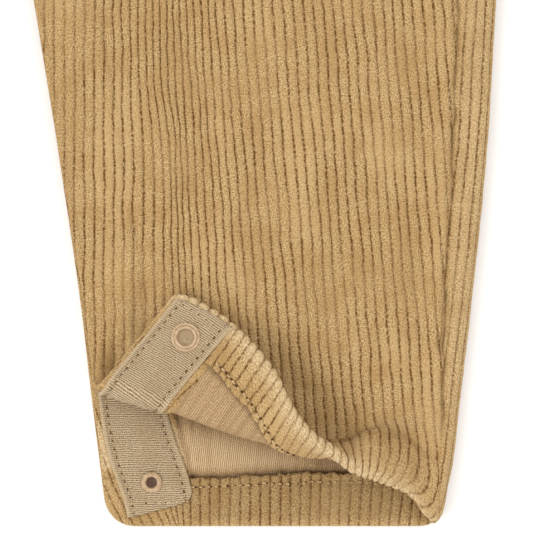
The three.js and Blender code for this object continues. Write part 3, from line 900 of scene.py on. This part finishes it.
def tape_material():
    """Cotton tape in pale brown: fine dark lines between its cross ribs, specks of the
    warp, and a firmer edge outside its stitching."""
    material, new = new_material("ribbed_tape", 0.85, 0.1, rgb(235, 222, 205))
    place = new.attribute("cloth", 1)
    inset = new.node("ShaderNodeSeparateXYZ", i0=place)
    along = inset.output(1)
    speck = new.noise(place, 1.9, 1.0)
    grain = new.noise(place, 3.4, 1.0)
    wave = new.noise(place, 0.28, 1.0)
    blotch = new.noise(place, 0.1, 1.0)
    rib = along.math("COSINE", (along + (wave - 0.5) * 0.9) * (2 * math.pi / TAPE_RIB)) * 0.5 + 0.5
    warp = inset.math("COSINE", inset * (2 * math.pi / 0.62) + (wave - 0.5) * 3) * 0.5 + 0.5
    weave = rib * (0.75 + warp * 0.25)
    line = (rib * (0.5 + warp * 0.7) + (grain - 0.5) * 0.7).step(0.06, 0.6)
    colour = line.between(rgb(106, 82, 54), rgb(209, 187, 153))
    colour = colour.tinted(
        (speck, 0.4, 0.7, 0.4, (226, 204, 172)),
        (grain, 0.6, 0.35, 0.5, (116, 90, 60)),
        (blotch, 0.4, 0.7, 0.25, (150, 122, 86)),
    )
    middle = inset - TAPE_WIDTH / 2
    edge = TAPE_WIDTH / 2 - middle.math("ABSOLUTE", middle)
    firm = edge.step(1.2, 0.7)
    colour = (firm * 0.5).between(colour, rgb(204, 180, 144))
    sewn_in = edge - SEWN_IN
    sewn_in = sewn_in.math("ABSOLUTE", sewn_in).step(0.34, 0.08) * (speck.step(0.3, 0.6) * 0.4 + 0.3)
    colour = sewn_in.between(colour, rgb(104, 78, 48))
    return finished(material, colour, weave + grain * 0.5, 0.9, 0.0002)


ribbed_tape = tape_material()


def tape_face(u, v):
    """The tape's soft relief: rounded edges, drawn in along the stitching."""
    edge = np.minimum(u, TAPE_WIDTH - u)
    stitched = hump(edge - SEWN_IN, 0.55)
    border = 0.28 * hump(edge - 0.8, 0.45)
    rounded = TAPE_CLOTH * (0.55 + 0.45 * ease(edge / 0.6))
    return rounded + border - 0.32 * stitched + 0.1 * drift(u / 4, v / 6, 51)


def tape(name, side, point, lower_end):
    """point gives a place from the distance across the tape, the height, and how far out
    of the turned-in cloth; lower_end gives the height of the lower end across it."""
    cloth = Cloth()
    share = np.concatenate([np.linspace(0, 0.06, 9), np.linspace(0.08, 1, 60)])
    edge = np.array([0, 0.2, 0.6, 1.2, 1.8, 2.3, 2.8, 3.6, 5, 7, 9])
    u = np.concatenate([edge, [TAPE_WIDTH / 2], TAPE_WIDTH - edge[::-1]])
    low = lower_end(u)[None, :]
    seen = low + (TAPE_SEEN - low) * share[:, None]
    hidden = np.arange(TAPE_SEEN + 3, CROTCH_END, 3.0)[:, None] + 0 * low
    v = np.concatenate([seen, hidden])
    u = u[None, :] + 0 * v
    face = cloth.add(point(u, v, tape_face(u, v) * (0.6 + 0.4 * ease((v - low) / 0.6))), u, v, u * 0, 0.0)
    back = cloth.add(point(u, v, 0 * u), u, v, u * 0, 0.0)
    cloth.sheet(face)
    cloth.sheet(back, turned=True)
    cloth.sheet(np.stack([back[:, 0], face[:, 0]], 1))
    cloth.sheet(np.stack([face[:, -1], back[:, -1]], 1))
    cloth.sheet(np.stack([back[0], face[0]], 0))
    cloth.sheet(np.stack([face[-1], back[-1]], 0))
    made = cloth.piece(name, ribbed_tape, side)
    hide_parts(name)
    return made


def under_tape(v):
    """How far the turned-in edge and the turned-up hem stand out of the wrong side."""
    return mix(HEM_SQUASH * (CLOTH + 0.7) + 0.1, TURN_IN_CLOTH, ease((v - HEM_DEPTH + 1) / 2)) + 0.15


def front_tape_point(surface):
    def point(u, v, w):
        return surface(front_inner(v) + 0.6 + u * 0.965, v, -under_tape(v) - w)

    return point


def back_tape_point(u, v, w):
    """The back tape swings in from the edge towards the rounded hem corner."""
    left, right = read(BACK_TAPE, "y", "left", v), read(BACK_TAPE, "y", "right", v)
    x = leg("inseam", v) + mix(left, right, u / TAPE_WIDTH)
    curl = 0.5 * ease((14 - v) / 12) * ease((8 - u) / 8)
    return np.stack([x, v + 0 * u, CLOTH + under_tape(v) + w + curl], -1)


def front_end(u):
    return 2.0 - 1.2 * u / TAPE_WIDTH + 1.2 * np.exp(-u / 0.9)


def back_end(u):
    return 3.4 + 5.6 * (u / TAPE_WIDTH) ** 1.2 + 2.6 * np.exp(-(TAPE_WIDTH - u) / 0.9)


TAPES = (
    ("tape_front_left", 1, front_tape_point(folded_front), front_end),
    ("tape_back_left", 1, back_tape_point, back_end),
    ("tape_front_right", -1, front_tape_point(flat_front), front_end),
    ("tape_back_right", -1, back_tape_point, back_end),
)
for name, side, point, lower_end in TAPES:
    tape(name, side, point, lower_end)

# The snaps: moulded sockets on the front tapes and studs on the back ones. The lowest pair
# of the left leg shows and is made in detail; the others keep the solids' shapes.
SOCKET_PROFILE = (
    *((4.85, 0), (4.85, 0.3), (4.7, 0.55), (4.45, 0.72), (4.15, 0.72), (3.98, 0.6), (3.85, 0.62)),
    *((3.65, 0.95), (3.35, 1.15), (3.0, 1.12), (2.75, 0.85), (2.68, 0.5), (2.6, 0.2), (1.3, 0.17)),
    (0.02, 0.17),
)
STUD_PROFILE = (
    *((3.55, 0), (3.5, 0.35), (3.3, 0.6), (3.0, 0.75), (2.7, 1.0), (2.4, 1.15), (2.1, 1.1)),
    *((1.88, 0.8), (1.82, 0.45), (1.7, 0.3), (0.9, 0.26), (0.02, 0.25)),
)
SOCKET_AT = dict(u=59.0, v=12.4)
STUD_AT = dict(x=61.7, y=15.0)
WEAVE = 0.00085


def snap_material():
    """Satin moulded plastic in pale tan, slightly mottled, with painted shade in its grooves
    and a dark painted shade down in the holes of the stud and the buttons. Through the
    socket the tape's weave shows, in darker tones that paint its shade."""
    material, new = new_material("moulded_snap", 0.42)
    shader = material.node_tree.nodes["Principled BSDF"]
    shader.inputs["Specular IOR Level"].default_value = 0.4
    place = new.node("ShaderNodeTexCoord", output=3)
    hollow = new.attribute("hollow")
    mottle = new.noise(place, 900.0, 2.0)
    fine = new.noise(place, 3500.0, 1.0)
    colour = mottle.step(0.3, 0.7).between(rgb(174, 144, 110), rgb(198, 170, 136))
    # Painted shade in the grooves.
    colour = (hollow.math("MINIMUM", hollow, 0.1) * 5.0).between(colour, rgb(128, 98, 66))
    turns = new.node("ShaderNodeVectorMath", {"operation": "SCALE"}, i0=place, Scale=2 * math.pi / WEAVE)
    waves = new.node("ShaderNodeVectorMath", {"operation": "SINE"}, i0=turns)
    threads = new.node("ShaderNodeSeparateXYZ", i0=waves)
    weave = (threads * threads.output(1)).step(-0.5, 0.5)
    # Inside the socket, the tape's weave in darker tones of painted shade; a hole's dark painted shade.
    seen_through = hollow.step(0.1, 0.4) * hollow.step(0.9, 0.6)
    colour = seen_through.between(colour, weave.between(rgb(128, 102, 72), rgb(182, 156, 122)))
    colour = hollow.step(0.6, 1.0).between(colour, rgb(78, 50, 30))
    new.tree.links.new((mottle * 0.2 + 0.34).socket, shader.inputs["Roughness"])
    return finished(material, colour, mottle + fine * 0.4, 0.25, 0.0001)


moulded_snap = snap_material()


def turned_ring(profile, centre, east, north, out, steps=56):
    """Points and faces of a profile of radius and height turned round an axis."""
    angles = np.arange(steps) * 2 * math.pi / steps
    radius = np.array([r for r, _ in profile])[:, None, None]
    height = np.array([z for _, z in profile])[:, None, None]
    spoke = np.cos(angles)[:, None] * east + np.sin(angles)[:, None] * north
    points = centre + radius * spoke[None] + height * out
    ids = np.arange(len(profile) * steps).reshape(len(profile), steps)
    after = np.roll(ids, -1, axis=1)
    faces = np.stack([ids[:-1], after[:-1], after[1:], ids[1:]], -1).reshape(-1, 4).tolist()
    return points.reshape(-1, 3), faces, ids


def moulded(name, parts, side, material, dark, depth=1.0, grooves=()):
    """A moulded piece of turned profiles, each closed by a flat face on its ends; grooves
    are the radii of its lines of painted shade, and inside the radius dark the hollow mark
    is depth: at 1 a hole's dark painted shade, at less the weave seen through in shaded tones."""
    points, faces, hollow, count = [], [], [], 0
    for profile, centre, east, north, out in parts:
        ring, sides, ids = turned_ring(profile, centre, east, north, out)
        faces += [[i + count for i in face] for face in sides]
        faces += [(ids[0][::-1] + count).tolist(), (ids[-1] + count).tolist()]
        for radius, _ in profile:
            hollow += [depth if radius < dark else 0.1 * (radius in grooves)] * ids.shape[1]
        points.append(ring)
        count += len(ring)
    points = in_frame(points, side)
    mesh = bpy.data.meshes.new(name)
    mesh.from_pydata(points, [], faces)
    mesh.attributes.new("hollow", "FLOAT", "POINT").data.foreach_set("value", hollow)
    mesh.update()
    mesh.shade_smooth()
    mesh.materials.append(material)
    made = linked(name, mesh)
    shell = bmesh.new()
    shell.from_mesh(mesh)
    bmesh.ops.recalc_face_normals(shell, faces=shell.faces)
    shell.to_mesh(mesh)
    shell.free()
    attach(made, "root")
    return made


def frame_on(point, u, v, w):
    """A point of a surface with its two directions and the way out of it."""
    places = np.array([(u, v, w), (u + 0.5, v, w), (u, v, w - 0.5)], float)
    at = point(*places.T)
    east = (at[1] - at[0]) / np.linalg.norm(at[1] - at[0])
    out = (at[2] - at[0]) / np.linalg.norm(at[2] - at[0])
    north = np.cross(out, east)
    return at[0], east, north / np.linalg.norm(north), out


socket_depth = -under_tape(SOCKET_AT["v"]) - TAPE_CLOTH + 0.1
socket = moulded(
    "lowest_socket",
    [(SOCKET_PROFILE, *frame_on(folded_front, SOCKET_AT["u"], SOCKET_AT["v"], socket_depth))],
    1,
    moulded_snap,
    2.65,
    0.42,
    (4.85, 3.98, 3.85, 2.75, 2.68),
)
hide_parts("socket_left_1")
UPRIGHT = tuple(np.eye(3))
stud_place = np.array([STUD_AT["x"], STUD_AT["y"], CLOTH + under_tape(STUD_AT["y"]) + TAPE_CLOTH - 0.1])
stud = moulded(
    "lowest_stud",
    [(STUD_PROFILE, stud_place, *UPRIGHT)],
    1,
    moulded_snap,
    1.8,
    1.0,
    (3.55, 3.5, 1.88, 1.82),
)
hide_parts("stud_left_1")
for side_name in ("left", "right"):
    for number in (1, 2, 3, 4):
        for kind in ("stud", "socket"):
            if (side_name, number) != ("left", 1):
                snap = bpy.data.objects[f"{kind}_{side_name}_{number}"]
                snap.material_slots[0].material = moulded_snap

# The strap buttons: round moulded buttons with a raised rim, a shallow dish and four holes,
# through which crossed thread holds them to the bib.
BUTTON_PROFILE = (
    *((9.6, 0), (10.3, 0.5), (10.5, 1.6), (10.2, 2.7), (9.6, 3.15), (8.8, 3.2), (8.1, 2.9)),
    *((7.4, 2.45), (5.0, 2.3), (0.02, 2.3)),
)
HOLE_PROFILE = ((1.25, 2.2), (1.25, 2.36), (1.05, 2.34), (0.02, 2.32))
BUTTON_Y = 574

for side_name, side in (("left", 1), ("right", -1)):
    middle = np.array([STRAP["middle"], BUTTON_Y, STRAP_FRONT + STRAP["cloth"] + 0.6])
    parts = [(BUTTON_PROFILE, middle, *UPRIGHT)]
    for dx, dy in ((-2, -2), (-2, 2), (2, -2), (2, 2)):
        parts.append((HOLE_PROFILE, middle + np.array([dx, dy, 0]), *UPRIGHT))
    button = moulded(f"button_{side_name}_moulded", parts, side, moulded_snap, 1.3)
    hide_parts("button_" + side_name)

# The sewing: rows of thread stitches along the tapes, the turned-up hems, the plackets, the
# side seams, the straps and the bib; along the tapes and hems dark beads of painted shade
# stand for the needle's holes between the stitches.
def stitch_group():
    """Lays one small rounded stitch along each step of the given lines."""
    group = bpy.data.node_groups.new("stitch_row", "GeometryNodeTree")
    face = group.interface
    face.new_socket("Geometry", in_out="INPUT", socket_type="NodeSocketGeometry")
    sizes = {}
    kinds = dict.fromkeys(("Pitch", "Length", "Width", "Height", "Unevenness"), "Float")
    for key, kind in {**kinds, "Seed": "Int", "Material": "Material"}.items():
        made = face.new_socket(key, in_out="INPUT", socket_type=f"NodeSocket{kind}")
        sizes[key] = made.identifier
    face.new_socket("Geometry", in_out="OUTPUT", socket_type="NodeSocketGeometry")
    add = group.nodes.new
    given, result = add("NodeGroupInput"), add("NodeGroupOutput")
    to_curve, resample = add("GeometryNodeMeshToCurve"), add("GeometryNodeResampleCurve")
    resample.mode = "LENGTH"
    ball = add("GeometryNodeMeshUVSphere")
    ball.inputs["Segments"].default_value = 8
    ball.inputs["Rings"].default_value = 6
    ball.inputs["Radius"].default_value = 0.5
    tangent, up = add("GeometryNodeInputTangent"), add("GeometryNodeInputNamedAttribute")
    up.data_type = "FLOAT_VECTOR"
    up.inputs["Name"].default_value = "up"
    along, upright = add("FunctionNodeAlignRotationToVector"), add("FunctionNodeAlignRotationToVector")
    along.axis, upright.axis, upright.pivot_axis = "X", "Z", "X"
    size, uneven, spread = add("ShaderNodeCombineXYZ"), add("FunctionNodeRandomValue"), add("ShaderNodeMath")
    spread.operation = "SUBTRACT"
    spread.inputs[0].default_value = 1.0
    uneven.inputs["Max"].default_value = 1.0
    scaled = add("ShaderNodeVectorMath")
    scaled.operation = "SCALE"
    place = add("GeometryNodeInstanceOnPoints")
    realize, dressed = add("GeometryNodeRealizeInstances"), add("GeometryNodeSetMaterial")
    for source, output, target, slot in (
        (given, "Geometry", to_curve, "Mesh"),
        (to_curve, "Curve", resample, "Curve"),
        (given, "Pitch", resample, "Length"),
        (tangent, 0, along, "Vector"),
        (along, 0, upright, "Rotation"),
        (up, "Attribute", upright, "Vector"),
        (given, "Length", size, 0),
        (given, "Width", size, 1),
        (given, "Height", size, 2),
        (given, "Unevenness", spread, 1),
        (spread, 0, uneven, "Min"),
        (given, "Seed", uneven, "Seed"),
        (size, 0, scaled, 0),
        (uneven, "Value", scaled, "Scale"),
        (resample, "Curve", place, "Points"),
        (ball, "Mesh", place, "Instance"),
        (upright, 0, place, "Rotation"),
        (scaled, 0, place, "Scale"),
        (place, "Instances", realize, 0),
        (realize, 0, dressed, "Geometry"),
        (given, "Material", dressed, "Material"),
        (dressed, "Geometry", result, 0),
    ):
        group.links.new(source.outputs[output], target.inputs[slot])
    return group, sizes


stitch_row, stitch_inputs = stitch_group()


def thread_material(name, light, dark):
    material, new = new_material(name, 0.8, 0.05)
    place = new.node("ShaderNodeTexCoord", output=3)
    twist = new.noise(place, 1800.0, 2.0)
    colour = twist.step(0.3, 0.7).between(dark, light)
    return finished(material, colour, twist, 0.4, 0.0001)


thread = thread_material("tan_thread", rgb(214, 190, 150), rgb(168, 138, 98))
hem_thread = thread_material("brown_thread", rgb(214, 186, 140), rgb(150, 118, 76))
# Dark beads of painted shade for the needle's holes.
needle_hole_shade = thread_material("needle_hole_shade", rgb(92, 62, 32), rgb(64, 40, 20))


def sewn(name, lines, pitch, length, width, height, material, unevenness=0.15):
    """lines are lists of points in millimetres with their ways out of the cloth."""
    points, ups, edges, count = [], [], [], 0
    for line, up in lines:
        points.append(line)
        ups.append(up)
        edges += [(count + i, count + i + 1) for i in range(len(line) - 1)]
        count += len(line)
    mesh = bpy.data.meshes.new(name + "_lines")
    mesh.from_pydata(in_frame(points), edges, [])
    way = mesh.attributes.new("up", "FLOAT_VECTOR", "POINT")
    way.data.foreach_set("vector", np.concatenate(ups).astype(np.float32).ravel())
    drawn = linked(name + "_lines", mesh)
    row = drawn.modifiers.new("stitches", "NODES")
    row.node_group = stitch_row
    values = {"Pitch": pitch, "Length": length, "Width": width, "Height": height}
    for key, value in values.items():
        row[stitch_inputs[key]] = value * MM
    row[stitch_inputs["Unevenness"]] = unevenness
    row[stitch_inputs["Seed"]] = 7
    row[stitch_inputs["Material"]] = material
    bpy.context.view_layer.update()
    made_mesh = bpy.data.meshes.new_from_object(drawn.evaluated_get(bpy.context.evaluated_depsgraph_get()))
    made_mesh.name = name
    bpy.data.objects.remove(drawn)
    made_mesh.shade_smooth()
    made = linked(name, made_mesh)
    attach(made, "root")
    return made


def line_on(point, u, v, w, start=0.0):
    """A line over a surface, with the ways out of it; start leaves out its first stretch."""
    u, v = np.broadcast_arrays(np.asarray(u, float), np.asarray(v, float))
    line = point(u, v, 0 * u + w)
    out = point(u, v, 0 * u + w + 0.3) - line
    out /= np.linalg.norm(out, axis=1)[:, None]
    run = np.append(0, np.cumsum(np.linalg.norm(np.diff(line, axis=0), axis=1)))
    kept = run >= start - 0.25
    return line[kept], out[kept]


def mirrored(lines):
    return [(line * np.array([-1.0, 1, 1]), up * np.array([-1.0, 1, 1])) for line, up in lines]


def tape_lines(start):
    found = []
    for _, side, point, lower_end in TAPES:
        if side > 0:
            for u in (SEWN_IN, TAPE_WIDTH - SEWN_IN):
                v = np.linspace(float(lower_end(np.array([u]))[0]) + 2.2, TAPE_SEEN - 4, 90)
                found.append(line_on(point, u, v, 0.5, start))
            u = np.linspace(SEWN_IN, TAPE_WIDTH - SEWN_IN, 40)
            v = lower_end(u * 0 + TAPE_WIDTH / 2) + (u - TAPE_WIDTH / 2) * 0.05 + 2.4
            found.append(line_on(point, u, v, 0.5, start))
    return found


def hem_row(start, raised):
    """The row that holds the turned-up hem, on its inside: the back's and the flap's."""
    p = np.linspace(back_row_start, -14, 120)
    back = line_on(back_point, p, 0.3 * drift(p / 4, p * 0, 71) - 13.3, CLOTH + raised, start)
    u = np.linspace(float(front_inner(13.4)) + 24.5, 131, 90)
    v = 13.4 + 0.15 * drift(u / 5, u * 0, 72)
    front = line_on(lambda a, b, c: folded_front(a, b, -c), u, v, 0.8 + raised, start)
    return [back, front]


back_row_start = float(leg("inseam", 13.4) + 30 - back_middle(13.4))


def outside_lines(start):
    """Rows on the outside: the placket beside the inseam, and the side seam's topstitch."""
    v = np.linspace(52, CROTCH_END - 14, 220)
    placket = leg("inseam", v) + PLACKET_LINE - 0.2 * drift(v / 9, v * 0, 3)
    seam_v = np.linspace(36, WAIST - 2, 300)
    seam = front_outer(seam_v) - 1.4
    found = []
    for surface in (folded_front, flat_front):
        found.append(line_on(surface, placket, v, CLOTH + 0.25, start))
        found.append(line_on(surface, seam, seam_v, CLOTH + 0.3, start))
    return found[:2] + mirrored(found[2:])


def bib_rows():
    """Topstitching along the bib's top and waist and round each strap's edge."""
    found = []
    for v, half in ((581.5, 74), (443.6, 146), (446.8, 143)):
        u = np.linspace(-half, half, 260)
        found.append(line_on(bib_front_point, u, v, CLOTH + 0.55))
    s = np.linspace(STRAP_BEHIND + 4, STRAP_LENGTH - 3.4, 160)
    inset = np.array([strap_edge(at + 3.2) - 3.2 for at in s])
    path = np.concatenate([inset, -inset[::-1]]), np.concatenate([s, s[::-1]])
    around = line_on(strap_point, *path, STRAP["cloth"] + 0.55)
    return found + [around] + mirrored([around])


def button_threads():
    """Two crossed threads between the four holes of each button."""
    t = np.linspace(-2.0, 2.0, 12)
    top = STRAP_FRONT + STRAP["cloth"] + 3.1 + 0.25 * np.cos(t * math.pi / 4)
    crossed = []
    for way in (1, -1):
        line = np.stack([STRAP["middle"] + t, BUTTON_Y + way * t, top], -1)
        crossed.append((line, np.tile([0.0, 0, 1], (12, 1))))
    return crossed + mirrored(crossed)


sewn("tape_stitches", tape_lines(0), 2.8, 2.2, 0.42, 0.3, thread)
sewn("tape_needle_holes", tape_lines(1.4), 2.8, 1.0, 0.62, 0.4, needle_hole_shade, 0.4)
sewn("hem_stitches", hem_row(0, 0.95), 2.6, 1.7, 0.8, 0.6, hem_thread, 0.35)
sewn("hem_needle_holes", hem_row(1.3, 0.65), 2.6, 1.3, 1.0, 0.7, needle_hole_shade, 0.4)
sewn("seam_stitches", outside_lines(0), 3.0, 2.1, 0.4, 0.3, thread, 0.3)
sewn("bib_and_strap_stitches", bib_rows(), 3.0, 2.3, 0.55, 0.4, thread, 0.2)
sewn("button_thread", button_threads(), 0.5, 0.9, 0.55, 0.55, thread, 0.1)

# The floor, the light and the camera: a pale surface under soft light from the upper left,
# seen straight down, framed on the lower left leg.
SHOT = dict(x=102.7, y=83.9, width=183.3, distance=1250.0)


def studio():
    floor_mesh = bpy.data.meshes.new("floor")
    corners = [(-3, -3, 0), (3, -3, 0), (3, 3, 0), (-3, 3, 0)]
    floor_mesh.from_pydata(corners, [], [(0, 1, 2, 3)])
    floor = linked("floor", floor_mesh)
    floor.location.z = -0.0004
    material, _ = new_material("pale_floor", 0.9)
    shader = material.node_tree.nodes["Principled BSDF"]
    shader.inputs["Base Color"].default_value = (0.93, 0.93, 0.93, 1)
    shader.inputs["Emission Color"].default_value = (1, 1, 1, 1)
    shader.inputs["Emission Strength"].default_value = 0.08
    floor_mesh.materials.append(material)
    world = bpy.data.worlds.new("studio")
    world.use_nodes = True
    world.node_tree.nodes["Background"].inputs["Color"].default_value = (1, 0.99, 0.97, 1)
    world.node_tree.nodes["Background"].inputs["Strength"].default_value = 1.03
    bpy.context.scene.world = world
    target = Vector((SHOT["x"], SHOT["y"] - LENGTH / 2, 0)) * MM
    for name, place, power, wide in (
        ("key", (-1.1, -0.5, 1.5), 11, 1.1),
        ("top", (0.4, 0.9, 1.6), 5, 1.2),
    ):
        lamp = bpy.data.lights.new(name, "AREA")
        lamp.energy, lamp.size = power, wide
        made = linked(name, lamp)
        made.location = target + Vector(place)
        made.rotation_mode = "QUATERNION"
        made.rotation_quaternion = (-Vector(place)).to_track_quat("-Z", "Y")
    lens = bpy.data.cameras.new("camera")
    lens.sensor_width = 36
    lens.lens = 36 * SHOT["distance"] / SHOT["width"]
    lens.clip_start, lens.clip_end = 0.05, 20
    camera = linked("camera", lens)
    camera.location = target + Vector((0, 0, SHOT["distance"] * MM))
    bpy.context.scene.camera = camera
    bpy.context.scene.view_settings.view_transform = "Standard"


studio()
